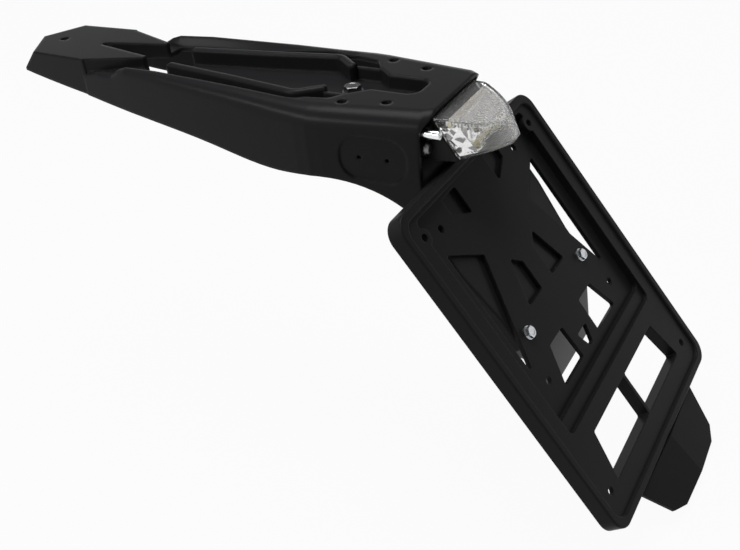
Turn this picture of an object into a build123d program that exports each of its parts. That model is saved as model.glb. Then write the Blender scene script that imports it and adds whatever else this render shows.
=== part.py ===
from build123d import *
from math import atan2, cos, radians, sin
import os

os.makedirs("parts", exist_ok=True)

# Millimetres. +X is the rider's right, +Y runs forward to the nose, +Z is up.
# The origin lies midway between the front deck holes, on the deck's top face.

# Moulded tail body
wall = 3.0
draft_out = 2.2
skirt_depth = 85.0
rear_y = -61.0
rear_half = 41.0
visor_long = 5.5
visor_high = 11.0
shoulder_y = 18.0
shoulder_half = 52.5
joint_y = 222.0
joint_half = 30.4
rail_fall = 4.0
rear_taper = 5.4
rear_inset = 2.8
shoulder_bend = 4.6
shoulder_soft = 0.3
shoulder_cap = 0.5
deck_edge = 12.5
rail_edge = 2.5
inner_edge_least = 0.8
inner_shift = 1.5

# Rails: station, height of the level between them, height of their crests.
# The least crest keeps the same edges in every section, also across the flat deck.
crest_least = 0.02
rail_line = (
    (222.0, -8.2, -8.0),
    (206.0, -7.0, -5.2),
    (192.0, -5.8, -4.2),
    (185.0, -5.3, -0.4),
    (178.0, -5.1, 1.7),
    (150.0, -4.0, 2.7),
    (80.0, -3.4, 1.6),
    (45.0, -2.4, 0.4),
)

# Lower edge of the side walls, front to rear
hem_front_z = -13.0
hem_nose_y = 255.0
hem_nose_z = -18.8
hem_waist_y = 172.0
hem_waist_z = -31.0
hem_mid_y = 100.0
hem_mid_z = -39.6
hem_low_y = 43.0
hem_low_z = -46.3
hem_arch_y = 11.0
hem_arch_z = -44.7
hem_rear_y = -22.0
hem_rear_z = -50.5
hem_end_y = -42.0
hem_end_z = -60.8

# Nose pad with its two prongs and the notch between them
nose_top = 3.0
nose_tip_y = 300.0
nose_corner_y = 284.0
nose_corner_half = 27.4
nose_chin = 11.0
nose_slope = 40.0
nose_set_back = 4.5
nose_hole_y = 265.0
nose_hole_r = 3.25
prong_end_y = 175.0
prong_end_outer = 14.5
prong_end_inner = 11.5
prong_depth = 12.0
notch_y = 237.0

# Long opening between the rails and the tray that stands in it
opening_front_half = 24.5
opening_mid_half = 32.5
opening_mid_y = 92.0
opening_wide_half = 37.5
opening_wide_y = 47.0
opening_heel_half = 31.6
opening_heel_y = 11.0
opening_rear_half = 20.0
opening_rear_y = 2.3
opening_round = 6.0
bar_width = 6.0
bar_rise = 1.5
bar_round = 2.4
tray_depth = 13.0
tray_floor = 2.5
bar_front_y = 153.0
bar_front_half = 14.0
bar_mid_y = 90.0
bar_mid_half = 22.0
bar_bend_y = 38.0
bar_bend_half = 30.0
bar_end_y = 21.0
bar_end_half = 17.0
bar_bow = 9.0
floor_bow = 8.0

# Deck holes, sunk bowl behind the tray and side recesses
deck_hole_r = 3.25
front_hole_x = 33.9
rear_hole_x = 27.3
hole_pitch_y = 27.7
bowl_half = 11.3
bowl_front_y = -8.3
bowl_rear_y = -39.3
bowl_corner = 7.0
bowl_wall = 2.4
bowl_rim = 1.5
recess_y = -25.0
recess_z = -30.0
recess_long = 44.5
recess_high = 30.0
recess_corner = 13.5
recess_tilt = 3.5
recess_depth = 1.2
recess_reach = 5.0
recess_hole_r = 1.4
recess_hole_deep = 1.2
recess_hole_pitch = 18.5

# Plate frame, laid out down its own slope from the top edge
plate_tilt = 36.0
plate_y = -65.7
plate_z = -38.8
plate_wide = 192.5
plate_long = 237.0
plate_deep = 11.0
plate_corner = 12.0
rim_wide = 6.0
band_corner = 9.0
rim_round = 1.2
band_deep = 2.0
panel_deep = 8.0
panel_half = 78.4
panel_top = 9.0
panel_end = 161.5
panel_step = 10.0
step_deep = 4.5
panel_corner = 4.0
skin = 3.0
web_corner = 1.5
hole_pad_r = 6.0
plate_hole_r = 2.6
upper_hole_x = 79.6
upper_hole_v = 19.5
lower_hole_v = 214.7
web_hole_x = 56.1
web_hole_v = 25.0
low_hole_x = 58.3
low_hole_v = 141.5
window_top = 184.0
window_end = 216.0
window_top_half = 59.0
window_end_half = 67.0
window_rib = 3.0
upper_opening = [(21.5, 13.0), (40.0, 13.0), (40.0, 23.5), (21.5, 33.0)]
side_opening = [(67.0, 38.0), (37.0, 56.5), (67.0, 133.0)]
centre_opening = [(9.0, 80.0), (18.5, 72.0), (30.0, 102.0), (9.0, 102.0)]
lower_opening = [(16.0, 129.0), (37.0, 129.0), (47.5, 154.0), (15.0, 154.0)]
notch_top_half = 7.5
notch_top_v = 142.0
notch_end_half = 2.5
notch_end_v = 154.0

# Tongue of the body behind the plate and the two bolts through it
tongue_thick = 4.0
tongue_rim = 7.0
tongue_top = 2.0
tongue_top_half = 44.5
shelf_rise = 13.0
shelf_half = 41.6
lip_v = 126.0
lip_deep = 4.0
lip_end_v = 164.0
lip_end_deep = 24.0
lip_half = 44.0
lip_thick = 3.0
tongue_wide_v = 38.0
tongue_wide_half = 62.5
tongue_flat_v = 55.0
tongue_low_v = 92.0
tongue_low_half = 57.0
tongue_end = 130.0
tongue_end_half = 46.0
cheek_x = 41.5
cheek_thick = 3.0
cheek_deep = 21.0
cheek_end = 92.0
cheek_knee_v = 37.0
cheek_knee_deep = 17.0
bolt_x = 47.3
bolt_v = 111.4
bolt_r = 2.0
bolt_flats = 7.0
bolt_head = 2.8
nut_high = 3.2
washer_r = 4.5
washer_thick = 0.8
thread_out = 2.0

# Mudflap under the plate frame
flap_half = 57.0
flap_mid_half = 44.0
flap_end_half = 32.0
flap_mid = 27.0
flap_drop = 33.0
flap_thick = 2.6
flap_set = 2.5
flap_ridge = 3.4
flap_lean = 7.0
flap_screw_x = 34.0
flap_screw_r = 2.0
flap_screw_head_r = 3.4
flap_screw_head = 2.2
flap_screw_long = 12.0
flap_screw_d = 7.0
flap_boss_r = 4.0
flap_boss_long = 10.0
flap_gap = 0.6
flange_half = 50.0
flange_thick = 2.9
flange_deep = 8.0

# Tail light, a beak with a sloping split between housing and lens
lens_half = 30.0
lens_grow = 1.0
lens_corner_y = -66.0
lens_corner_rake = 6.0
lens_tip_y = -93.0
lens_tip_rake = 10.5
lens_tip_half = 5.0
lens_bow = 3.5
lens_corner_hold = 0.4
lens_top_z = -4.4
lens_bottom_z = -34.0
lens_fold_y = -68.0
lens_fold_z = -5.2
lens_brow_z = -12.0
lens_keel_y = -73.0
lens_keel_z = -31.3
lens_chin_z = -27.0
lens_wall = 2.0
lens_round = 2.0
housing_front_y = -42.0
housing_wall = 2.4
split_y = -57.8
split_tilt = 32.0
seal_thick = 1.2
seal_wide = 2.4
lug_x = 34.8
lug_z = -23.0
lug_rear_y = -56.5
lug_thick = 4.0
lug_r = 4.2
boss_r = 3.9
boss_rib = 3.0
boss_rib_long = 6.0
boss_long = 14.0
light_screw_r = 2.0
light_screw_head_r = 3.9
light_screw_head = 2.6
light_screw_head_round = 1.0
light_screw_grip = 12.0
stud_x = 35.5
stud_z = -12.7
stud_r = 3.0
stud_rear_y = -67.0
stud_sunk = 8.0
stud_chamfer = 0.4
ear_rear_y = -59.5
ear_thick = 2.0
ear_high = 8.4
stud_boss_r = 4.6
board_thick = 1.6
board_set = 5.0
post_x = 12.0
post_z = -15.0
post_r = 2.0
led_side = 3.4
led_high = 1.6
led_drop = 21.0
led_pitch = 9.5
lamp_drop = 28.0
lamp_x = 4.75
liner_wall = 1.2
liner_top = 7.0
cup_r = 4.0
cup_throat_r = 2.6
cup_long = 3.2
cup_web_drop = 27.0
lamp_window_half = 10.0
reflex_thick = 1.6
reflex_rear_y = -87.0
grommet_r = 5.0
grommet_z = -20.0
grommet_flange = 1.6
grommet_long = 9.0
cable_bore_r = 2.4

# Bolt in the floor of the tray
centre_bolt_y = 13.0
centre_bolt_r = 3.0
centre_bolt_flats = 10.0
centre_bolt_head = 4.0
centre_bolt_long = 22.0
centre_washer_r = 7.0
centre_washer_thick = 1.6

# Clearances
fit = 0.1
hole_play = 0.3
past = 20.0
side_reach = 120.0


def lerp(low, high, share):
    """Value a share of the way from low to high."""
    return low + (high - low) * share


def across(y):
    """Upright plane across the body at one station, its own Y pointing up."""
    return Plane(origin=(0, y, 0), x_dir=(1, 0, 0), z_dir=(0, -1, 0))


def sloped(y, z, tilt):
    """Plane that faces rearward and up, its own Y running up the slope."""
    return Plane(origin=(0, y, z), x_dir=(1, 0, 0), z_dir=(0, -cos(radians(tilt)), sin(radians(tilt))))


def down_plate(v, d):
    """Side-view point a way down the plate frame and a way behind its rim."""
    turn = radians(plate_tilt)
    return (plate_y - v * sin(turn) + d * cos(turn), plate_z - v * cos(turn) - d * sin(turn))


def mirrored(points):
    """Outline on both sides of the centre line from the points of its right half."""
    return points + [(-x, y) for x, y in reversed(points) if x > 0]


def shell_section(y, half, top, crest, radius, floor):
    """Section of the body at one station: level top, raised rail crests, drafted sides."""
    low_half = half + draft_out
    crest_half = half - radius
    fall_half = crest_half - rail_fall
    crest_z = top + max(crest, crest_least)
    side_z = crest_z - radius
    with BuildSketch(across(y)) as section:
        with BuildLine():
            Polyline((-half, side_z), (-low_half, floor), (low_half, floor), (half, side_z))
            RadiusArc((half, side_z), (crest_half, crest_z), -radius)
            Polyline((crest_half, crest_z), (fall_half, top), (-fall_half, top), (-crest_half, crest_z))
            RadiusArc((-crest_half, crest_z), (-half, side_z), -radius)
        make_face()
    return section.sketch


def light_outline(z, inset):
    """Plan outline of the light at one height, drawn in by an inset."""
    share = (lens_top_z - z) / (lens_top_z - lens_bottom_z)
    half = lens_half + lens_grow * share - inset
    corner_y = lens_corner_y - lens_corner_rake * share + inset * lens_corner_hold
    tip_y = lens_tip_y - lens_tip_rake * share + inset
    tip_half = lens_tip_half - inset * lens_corner_hold
    flank = atan2(corner_y - tip_y, half - tip_half)
    bow_x = lerp(half, tip_half, 0.5) + lens_bow * sin(flank)
    bow_y = lerp(corner_y, tip_y, 0.5) - lens_bow * cos(flank)
    with BuildSketch(Plane.XY.offset(z)) as outline:
        with BuildLine():
            Polyline((-half, corner_y), (-half, housing_front_y), (half, housing_front_y), (half, corner_y))
            ThreePointArc((half, corner_y), (bow_x, bow_y), (tip_half, tip_y))
            Line((tip_half, tip_y), (-tip_half, tip_y))
            ThreePointArc((-tip_half, tip_y), (-bow_x, bow_y), (-half, corner_y))
        make_face()
    return outline.sketch


def light_form(inset, top_in, bottom_in):
    """Solid beak of the light, drawn in at the sides, the top and the bottom."""
    far_y = lens_tip_y - lens_tip_rake - lens_wall
    brow_slope = (lens_brow_z - lens_fold_z) / (lens_tip_y - lens_fold_y)
    far_top = lens_fold_z + brow_slope * (far_y - lens_fold_y)
    chin_slope = (lens_chin_z - lens_keel_z) / (lens_tip_y - lens_tip_rake - lens_keel_y)
    far_bottom = lens_keel_z + chin_slope * (far_y - lens_keel_y)
    near_y = housing_front_y + past
    upper = [(near_y, lens_top_z - top_in), (lens_fold_y, lens_fold_z - top_in), (far_y, far_top - top_in)]
    lower = [(far_y, far_bottom + bottom_in), (lens_keel_y, lens_keel_z + bottom_in)]
    lower.append((near_y, lens_bottom_z + bottom_in))
    with BuildPart() as form:
        loft([light_outline(lens_bottom_z, inset), light_outline(lens_top_z, inset)], ruled=True)
        with BuildSketch(Plane.YZ):
            with BuildLine():
                Polyline(*upper, *lower, close=True)
            make_face()
        extrude(amount=side_reach, both=True, mode=Mode.INTERSECT)
    return form.part


plate_plane = sloped(plate_y, plate_z, plate_tilt)
split_plane = sloped(split_y, lens_top_z, split_tilt)
seal_plane = split_plane.offset(seal_thick)
board_plane = split_plane.offset(board_set)
tongue_set = plate_deep + fit

# Stations of the outer skin, from the nose joint back to the rear end
stations = []
for station_y, level_z, crest_z in rail_line:
    share = (joint_y - station_y) / (joint_y - shoulder_y)
    station_half = lerp(joint_half, shoulder_half, share)
    station_edge = lerp(rail_edge, deck_edge, share)
    stations.append((station_y, station_half, level_z, crest_z - level_z, station_edge))
for station_y, inward in ((shoulder_y + 2 * shoulder_bend, 0), (shoulder_y + shoulder_bend, shoulder_soft)):
    share = (joint_y - station_y) / (joint_y - shoulder_y)
    station_half = lerp(joint_half, shoulder_half, share) - inward
    stations.append((station_y, station_half, 0, 0, lerp(rail_edge, deck_edge, share)))
stations.append((shoulder_y, shoulder_half - shoulder_cap, 0, 0, deck_edge))
for station_y, inward in (
    (shoulder_y - shoulder_bend, shoulder_soft),
    (shoulder_y - 2 * shoulder_bend, 0),
    (rear_y + rear_taper, 0),
    (rear_y, rear_inset),
):
    share = (shoulder_y - station_y) / (shoulder_y - rear_y)
    stations.append((station_y, lerp(shoulder_half, rear_half, share) - inward, 0, 0, deck_edge))
outer_sections = []
inner_sections = []
for y, half, top, crest, edge in stations:
    inner_edge = max(edge - wall - inner_shift, inner_edge_least)
    inner_y = y
    if y == joint_y:
        inner_y = joint_y + 2 * wall
    if y == rear_y:
        inner_y = rear_y - wall
    outer_sections.append(shell_section(y, half, top, crest, edge, -skirt_depth))
    inner_floor = -skirt_depth - wall
    inner_sections.append(shell_section(inner_y, half - wall, top - wall, crest, inner_edge, inner_floor))

# Front of the nose: two faces that meet at the tip and lean back above the chin
nose_turn = atan2(nose_tip_y - nose_corner_y, nose_corner_half)
nose_lean = radians(nose_slope)
nose_faces = []
for side in (1, -1):
    nose_normal = (side * sin(nose_turn) * cos(nose_lean), cos(nose_turn) * cos(nose_lean), sin(nose_lean))
    nose_faces.append(Plane(origin=(0, nose_tip_y, -nose_chin), z_dir=nose_normal))

# Hollow under the nose pad, set back from its sloping front
with BuildPart() as nose_core:
    with BuildSketch(Plane.XY.offset(nose_top - wall)):
        with BuildLine():
            core_points = [(0, nose_tip_y - nose_set_back)]
            core_points.append((nose_corner_half - wall, nose_corner_y - nose_set_back))
            core_points.append((joint_half - fit - wall, joint_y))
            Polyline(*mirrored(core_points), close=True)
        make_face()
    extrude(amount=-skirt_depth - 2 * wall)
    for face in nose_faces:
        split(bisect_by=face.offset(-wall), keep=Keep.BOTTOM)

# Body of the tail, one moulding from the nose to the tongue behind the plate
with BuildPart() as tail_body:
    loft(outer_sections, ruled=True)
    with BuildSketch(Plane.XY.offset(-skirt_depth)):
        with BuildLine():
            block_points = [(0, nose_tip_y), (nose_corner_half, nose_corner_y)]
            block_points.append((joint_half - fit, joint_y - wall))
            Polyline(*mirrored(block_points), close=True)
        make_face()
    extrude(amount=skirt_depth + nose_top)
    with BuildSketch(Plane.XY.offset(nose_top - prong_depth)):
        with BuildLine():
            prong_points = [(joint_half - fit, joint_y), (prong_end_outer, prong_end_y)]
            Polyline(*mirrored(prong_points), close=True)
        make_face()
    extrude(amount=prong_depth)
    loft(inner_sections, ruled=True, mode=Mode.SUBTRACT)
    add(nose_core.part, mode=Mode.SUBTRACT)
    # Prongs are hollow from below, with a wall left round each
    with BuildSketch(Plane.XY.offset(nose_top - wall)):
        with BuildLine():
            core_prong = [(joint_half - fit, joint_y + wall), (prong_end_outer, prong_end_y)]
            Polyline(*mirrored(core_prong), close=True)
        make_face()
        with BuildLine():
            notch_points = [(0, notch_y), (prong_end_inner, prong_end_y)]
            notch_points.append((prong_end_inner, prong_end_y - wall))
            Polyline(*mirrored(notch_points), close=True)
        make_face(mode=Mode.SUBTRACT)
        offset(amount=-wall, kind=Kind.INTERSECTION, mode=Mode.REPLACE)
    extrude(amount=-skirt_depth - wall, mode=Mode.SUBTRACT)
    # Notch between the prongs and the long opening between the rails
    with BuildSketch(Plane.XY.offset(past)):
        with BuildLine():
            Polyline(*mirrored(notch_points), close=True)
        make_face()
    extrude(amount=-skirt_depth - 2 * past, mode=Mode.SUBTRACT)
    with BuildSketch(Plane.XY.offset(past)):
        with BuildLine():
            opening_points = [(opening_front_half, prong_end_y - wall / 6), (opening_mid_half, opening_mid_y)]
            opening_points.append((opening_wide_half, opening_wide_y))
            opening_points.append((opening_heel_half, opening_heel_y))
            opening_points.append((opening_rear_half, opening_rear_y))
            opening_points.append((bowl_half, bowl_front_y))
            Polyline(*mirrored(opening_points), close=True)
        make_face()
        bends = vertices().filter_by_position(Axis.Y, opening_heel_y - fit, opening_mid_y + fit)
        fillet(bends, radius=opening_round)
    extrude(amount=-skirt_depth - 2 * past, mode=Mode.SUBTRACT)
    # Sloping front of the nose
    for face in nose_faces:
        split(bisect_by=face, keep=Keep.BOTTOM)
    # Lower edge of the side walls
    with BuildSketch(Plane.YZ):
        with BuildLine():
            hem = [(nose_tip_y + past, hem_front_z), (nose_corner_y, hem_front_z), (hem_nose_y, hem_nose_z)]
            hem += [(hem_waist_y, hem_waist_z), (hem_mid_y, hem_mid_z), (hem_low_y, hem_low_z)]
            hem += [(hem_arch_y, hem_arch_z), (hem_rear_y, hem_rear_z), (hem_end_y, hem_end_z)]
            hem.append(down_plate(cheek_knee_v, tongue_set + cheek_knee_deep))
            hem_line = Spline(*hem[1:])
            hem_nose = (nose_tip_y + past, -skirt_depth - past)
            Polyline(hem_line @ 1, (hem[-1][0], -skirt_depth - past), hem_nose, hem[0], hem_line @ 0)
        make_face()
    extrude(amount=side_reach, both=True, mode=Mode.SUBTRACT)
    # Rear end: a visor over the light, then an upright edge down to the plate
    with BuildSketch(Plane.YZ):
        with BuildLine():
            visor = [(rear_y - past, -wall), (rear_y, -wall), (rear_y + visor_long, -visor_high)]
            visor += [(rear_y + visor_long, -skirt_depth - past), (rear_y - past, -skirt_depth - past)]
            Polyline(*visor, close=True)
        make_face()
    extrude(amount=side_reach, both=True, mode=Mode.SUBTRACT)
    # Everything in front of the tongue's face makes room for the plate frame
    with BuildSketch(plate_plane.offset(-tongue_set)):
        with Locations((0, tongue_top)):
            Rectangle(2 * side_reach, 2 * side_reach, align=(Align.CENTER, Align.MAX))
    extrude(amount=side_reach, mode=Mode.SUBTRACT)
    # Tray in the long opening: floor with a rounded front, a raised bar at each side
    bar_points = [(bar_end_half, bar_end_y), (bar_bend_half, bar_bend_y), (bar_mid_half, bar_mid_y)]
    bar_points.append((bar_front_half, bar_front_y))
    block_half = opening_rear_half + bowl_wall
    with BuildSketch(Plane.XY.offset(-tray_depth)):
        with BuildLine():
            floor_points = [(block_half, opening_rear_y), (block_half, bar_end_y), *bar_points[1:]]
            Polyline(*mirrored(floor_points), close=True)
        make_face()
        fillet(vertices().group_by(Axis.Y)[-1], radius=floor_bow)
    extrude(amount=tray_floor)
    for side in (1, -1):
        with BuildSketch(Plane.XY.offset(-tray_depth)):
            with BuildLine():
                FilletPolyline(*[(side * x, y) for x, y in bar_points], radius=bar_bow)
            trace(line_width=bar_width)
        extrude(amount=tray_depth + bar_rise)
    bar_rim = edges().filter_by_position(Axis.Z, bar_rise - fit, bar_rise + fit)
    fillet(bar_rim, radius=bar_round)
    # Bowl behind the tray, one tub with its own walls under the deck
    with BuildSketch(Plane.XY.offset(-tray_depth)):
        with BuildLine():
            tub = [(block_half, bar_end_y), (block_half, opening_rear_y - bowl_wall / 2)]
            tub.append((bowl_half + bowl_wall, bowl_front_y - bowl_wall / 2))
            tub.append((bowl_half + bowl_wall, bowl_rear_y - bowl_wall))
            Polyline(*mirrored(tub), close=True)
        make_face()
        fillet(vertices().group_by(Axis.Y)[0], radius=bowl_corner)
    extrude(amount=tray_depth - wall / 2)
    with BuildSketch(Plane.XY.offset(tray_floor - tray_depth)):
        with BuildLine():
            bowl = [(opening_rear_half, bar_end_y), (opening_rear_half, opening_rear_y)]
            bowl += [(bowl_half, bowl_front_y), (bowl_half, bowl_rear_y)]
            Polyline(*mirrored(bowl), close=True)
        make_face()
        fillet(vertices().group_by(Axis.Y)[0], radius=bowl_corner)
    extrude(amount=past + tray_depth, mode=Mode.SUBTRACT)
    deck_rim = edges().filter_by_position(Axis.Z, -crest_least / 2, crest_least / 2)
    deck_rim = deck_rim.filter_by_position(Axis.Y, bowl_rear_y - fit, opening_rear_y + fit)
    fillet(deck_rim.filter_by_position(Axis.X, -block_half, block_half), radius=bowl_rim)
    # Holes in the nose, the deck and the tray
    with BuildSketch(Plane.XY.offset(past)):
        with Locations((0, nose_hole_y)):
            Circle(nose_hole_r)
        with Locations((front_hole_x, 0), (-front_hole_x, 0)):
            Circle(deck_hole_r)
        with Locations((rear_hole_x, -hole_pitch_y), (-rear_hole_x, -hole_pitch_y)):
            Circle(deck_hole_r)
        with Locations((0, centre_bolt_y)):
            Circle(centre_bolt_r + hole_play)
    extrude(amount=-2 * past, mode=Mode.SUBTRACT)
    # Shallow oval recess with two small holes in each side wall
    for side in (1, -1):
        recess_share = (shoulder_y - recess_y) / (shoulder_y - rear_y)
        recess_draft = draft_out * (-recess_z - deck_edge) / (skirt_depth - deck_edge)
        recess_x = lerp(shoulder_half, rear_half, recess_share) + recess_draft - recess_depth
        flank = atan2(shoulder_half - rear_half, shoulder_y - rear_y)
        recess_plane = Plane(
            origin=(side * recess_x, recess_y, recess_z),
            x_dir=(side * sin(flank), cos(flank), 0),
            z_dir=(side * cos(flank), -sin(flank), 0),
        )
        with BuildSketch(recess_plane):
            RectangleRounded(recess_long, recess_high, recess_corner, rotation=side * recess_tilt)
        extrude(amount=recess_reach, mode=Mode.SUBTRACT)
        pilot_x = recess_hole_pitch / 2 * cos(radians(recess_tilt))
        pilot_y = side * recess_hole_pitch / 2 * sin(radians(recess_tilt))
        with BuildSketch(recess_plane):
            with Locations((pilot_x, pilot_y), (-pilot_x, -pilot_y)):
                Circle(recess_hole_r)
        extrude(amount=-recess_hole_deep, mode=Mode.SUBTRACT)
    # Bosses for the light's screws and studs
    boss_y = lug_rear_y + lug_thick
    with BuildSketch(across(boss_y)):
        with Locations((lug_x, lug_z), (-lug_x, lug_z)):
            Circle(boss_r)
        with Locations((stud_x, stud_z), (-stud_x, stud_z)):
            Circle(stud_boss_r)
    extrude(amount=-boss_long)
    with BuildSketch(across(boss_y)):
        for rib_x, rib_z in ((lug_x, lug_z), (stud_x, stud_z)):
            for side in (1, -1):
                with Locations((side * (rib_x + rear_half) / 2, rib_z)):
                    Rectangle(rear_half - rib_x, boss_rib)
    extrude(amount=-boss_rib_long)
    with BuildSketch(across(boss_y)):
        with Locations((lug_x, lug_z), (-lug_x, lug_z)):
            Circle(light_screw_r + fit)
        with Locations((stud_x, stud_z), (-stud_x, stud_z)):
            Circle(stud_r + fit)
    extrude(amount=-boss_long, mode=Mode.SUBTRACT)
    # Tongue: face against the plate frame, rim round it, cheeks up to the side walls
    tongue_points = [(tongue_top_half, -tongue_top), (tongue_wide_half, -tongue_wide_v)]
    tongue_points.append((tongue_wide_half, -tongue_flat_v))
    tongue_points.append((tongue_low_half, -tongue_low_v))
    tongue_points.append((tongue_low_half, -bolt_v - washer_r))
    tongue_points.append((tongue_end_half, -tongue_end))
    with BuildSketch(plate_plane.offset(-tongue_set)):
        with BuildLine():
            Polyline(*mirrored(tongue_points), close=True)
        make_face()
    extrude(amount=-tongue_thick)
    with BuildSketch(plate_plane.offset(-tongue_set - tongue_thick / 2)):
        with BuildLine():
            Polyline(*mirrored(tongue_points), close=True)
        make_face()
        with BuildLine():
            rim_points = [(tongue_top_half - wall, past)]
            rim_points += [(x - wall, y) for x, y in tongue_points[:-1]]
            rim_points.append((tongue_end_half - wall / 2, wall - tongue_end))
            Polyline(*mirrored(rim_points), close=True)
        make_face(mode=Mode.SUBTRACT)
    extrude(amount=-tongue_thick / 2 - tongue_rim)
    for side in (1, -1):
        with BuildSketch(Plane.YZ.offset(side * cheek_x)):
            with BuildLine():
                cheek = [down_plate(tongue_top, tongue_set), down_plate(tongue_top, tongue_set + cheek_deep)]
                cheek.append(down_plate(cheek_knee_v, tongue_set + cheek_knee_deep))
                cheek.append(down_plate(cheek_end, tongue_set + tongue_thick))
                cheek.append(down_plate(cheek_end, tongue_set))
                Polyline(*cheek, close=True)
            make_face()
        extrude(amount=side * cheek_thick)
    # Web that carries the tongue on up under the light, and a lip that leans back below it
    with BuildSketch(plate_plane.offset(-tongue_set)):
        with Locations((0, -tongue_top - wall)):
            Rectangle(2 * shelf_half, shelf_rise + tongue_top + wall, align=(Align.CENTER, Align.MIN))
    extrude(amount=-tongue_thick)
    with BuildSketch(Plane.YZ):
        with BuildLine():
            lip = [down_plate(lip_v, tongue_set), down_plate(lip_end_v, tongue_set + lip_end_deep)]
            lip.append(down_plate(lip_end_v, tongue_set + lip_end_deep + lip_thick))
            lip.append(down_plate(lip_v, tongue_set + lip_deep))
            Polyline(*lip, close=True)
        make_face()
    extrude(amount=lip_half, both=True)
    with BuildSketch(plate_plane.offset(-tongue_set)):
        with Locations((bolt_x, -bolt_v), (-bolt_x, -bolt_v)):
            Circle(bolt_r + hole_play)
    extrude(amount=-2 * tongue_thick, mode=Mode.SUBTRACT)
tail_body.part.label = "tail_body"
export_step(tail_body.part, "parts/tail_body.step")

# Forms that the pieces of the light share
liner_in = lens_wall + fit
board_in = liner_in + liner_wall
roof_in = liner_in + reflex_thick + fit
light_solid = light_form(0, 0, 0)
housing_void = light_form(housing_wall, housing_wall, housing_wall)
seal_void = light_form(seal_wide, seal_wide, seal_wide)
lens_void = light_form(lens_wall, lens_wall, lens_wall)
liner_solid = light_form(liner_in, liner_in, liner_in)
liner_void = light_form(board_in, board_in, board_in)
board_solid = light_form(board_in + fit, board_in + fit, board_in + fit)
cup_space = light_form(liner_in, roof_in, liner_in)
reflex_solid = light_form(board_in, liner_in, board_in)
reflex_void = light_form(0, liner_in + reflex_thick, 0)
cup_plane = board_plane.offset(board_thick + fit)
mouth_plane = cup_plane.offset(cup_long)
led_places = [(x, -led_drop) for x in (-led_pitch, 0, led_pitch)]
lamp_places = [(lamp_x, -lamp_drop), (-lamp_x, -lamp_drop)]

# Room inside the light's base
with BuildPart() as housing_core:
    add(housing_void)
    split(bisect_by=across(housing_front_y - housing_wall), keep=Keep.TOP)

# Posts of the base that carry the circuit board
with BuildPart() as board_posts:
    with BuildSketch(across(housing_front_y - housing_wall / 2)):
        with Locations((post_x, post_z), (-post_x, post_z)):
            Circle(post_r)
    extrude(amount=side_reach)
    split(bisect_by=board_plane, keep=Keep.BOTTOM)

# Base of the light, a tray that closes the lens, with a lug and a saddle at each side
with BuildPart() as light_housing:
    add(light_solid)
    split(bisect_by=split_plane, keep=Keep.BOTTOM)
    add(housing_core.part, mode=Mode.SUBTRACT)
    add(board_posts.part)
    lug_y = lug_rear_y + lug_thick
    ear_y = ear_rear_y + ear_thick
    with BuildSketch(across(lug_y)):
        with Locations((lug_x, lug_z), (-lug_x, lug_z)):
            Circle(lug_r)
    extrude(amount=lug_thick)
    for plane_y, reach, side_x, place_z, high in (
        (lug_y, lug_thick, lug_x, lug_z, 2 * lug_r),
        (ear_y, ear_thick, stud_x, stud_z, ear_high),
    ):
        with BuildSketch(across(plane_y)):
            for side in (1, -1):
                with Locations((side * (lens_half + side_x - housing_wall / 2) / 2, place_z)):
                    Rectangle(side_x - lens_half + housing_wall / 2, high)
        extrude(amount=reach)
    with BuildSketch(across(lug_y)):
        with Locations((lug_x, lug_z), (-lug_x, lug_z)):
            Circle(light_screw_r + fit)
    extrude(amount=lug_thick, mode=Mode.SUBTRACT)
    with BuildSketch(across(ear_y)):
        with Locations((stud_x, stud_z), (-stud_x, stud_z)):
            Circle(stud_r + fit)
    extrude(amount=ear_thick, mode=Mode.SUBTRACT)
    with BuildSketch(across(housing_front_y)):
        with Locations((0, grommet_z)):
            Circle(grommet_r - grommet_flange + fit)
    extrude(amount=housing_wall, mode=Mode.SUBTRACT)
light_housing.part.label = "light_housing"
export_step(light_housing.part, "parts/light_housing.step")

# Rubber ring in the sloping joint between base and lens
with BuildPart() as housing_seal:
    add(light_solid)
    split(bisect_by=split_plane, keep=Keep.TOP)
    split(bisect_by=seal_plane, keep=Keep.BOTTOM)
    add(seal_void, mode=Mode.SUBTRACT)
housing_seal.part.label = "housing_seal"
export_step(housing_seal.part, "parts/housing_seal.step")

# Clear lens, hollow from its sloping rim
with BuildPart() as light_lens:
    add(light_solid)
    split(bisect_by=seal_plane, keep=Keep.TOP)
    outer_edges = edges().filter_by(lambda edge: seal_plane.to_local_coords(edge.center()).Z > fit)
    fillet(outer_edges, radius=lens_round)
    add(lens_void, mode=Mode.SUBTRACT)
light_lens.part.label = "light_lens"
export_step(light_lens.part, "parts/light_lens.step")

# Circuit board across the lens
with BuildPart() as light_board:
    add(board_solid)
    split(bisect_by=board_plane, keep=Keep.TOP)
    split(bisect_by=board_plane.offset(board_thick), keep=Keep.BOTTOM)
light_board.part.label = "light_board"
export_step(light_board.part, "parts/light_board.step")

# Row of diodes that shine rearward
with BuildPart() as tail_leds:
    with BuildSketch(board_plane.offset(board_thick)):
        with Locations(*led_places):
            Rectangle(led_side, led_side)
    extrude(amount=led_high)
tail_leds.part.label = "tail_leds"
export_step(tail_leds.part, "parts/tail_leds.step")

# Pair of diodes low on the board that light the plate
with BuildPart() as plate_leds:
    with BuildSketch(board_plane.offset(board_thick)):
        with Locations(*lamp_places):
            Rectangle(led_side, led_side)
    extrude(amount=led_high)
plate_leds.part.label = "plate_leds"
export_step(plate_leds.part, "parts/plate_leds.step")

# Cone cups round the rear diodes, outside and inside
cup_align = (Align.CENTER, Align.CENTER, Align.MIN)
with BuildPart(cup_plane) as cup_shells:
    with Locations(*led_places):
        Cone(cup_throat_r + liner_wall, cup_r + liner_wall, cup_long, align=cup_align)
with BuildPart(cup_plane) as cup_bores:
    with Locations(*led_places):
        Cone(cup_throat_r, cup_r, cup_long, align=cup_align)

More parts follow.
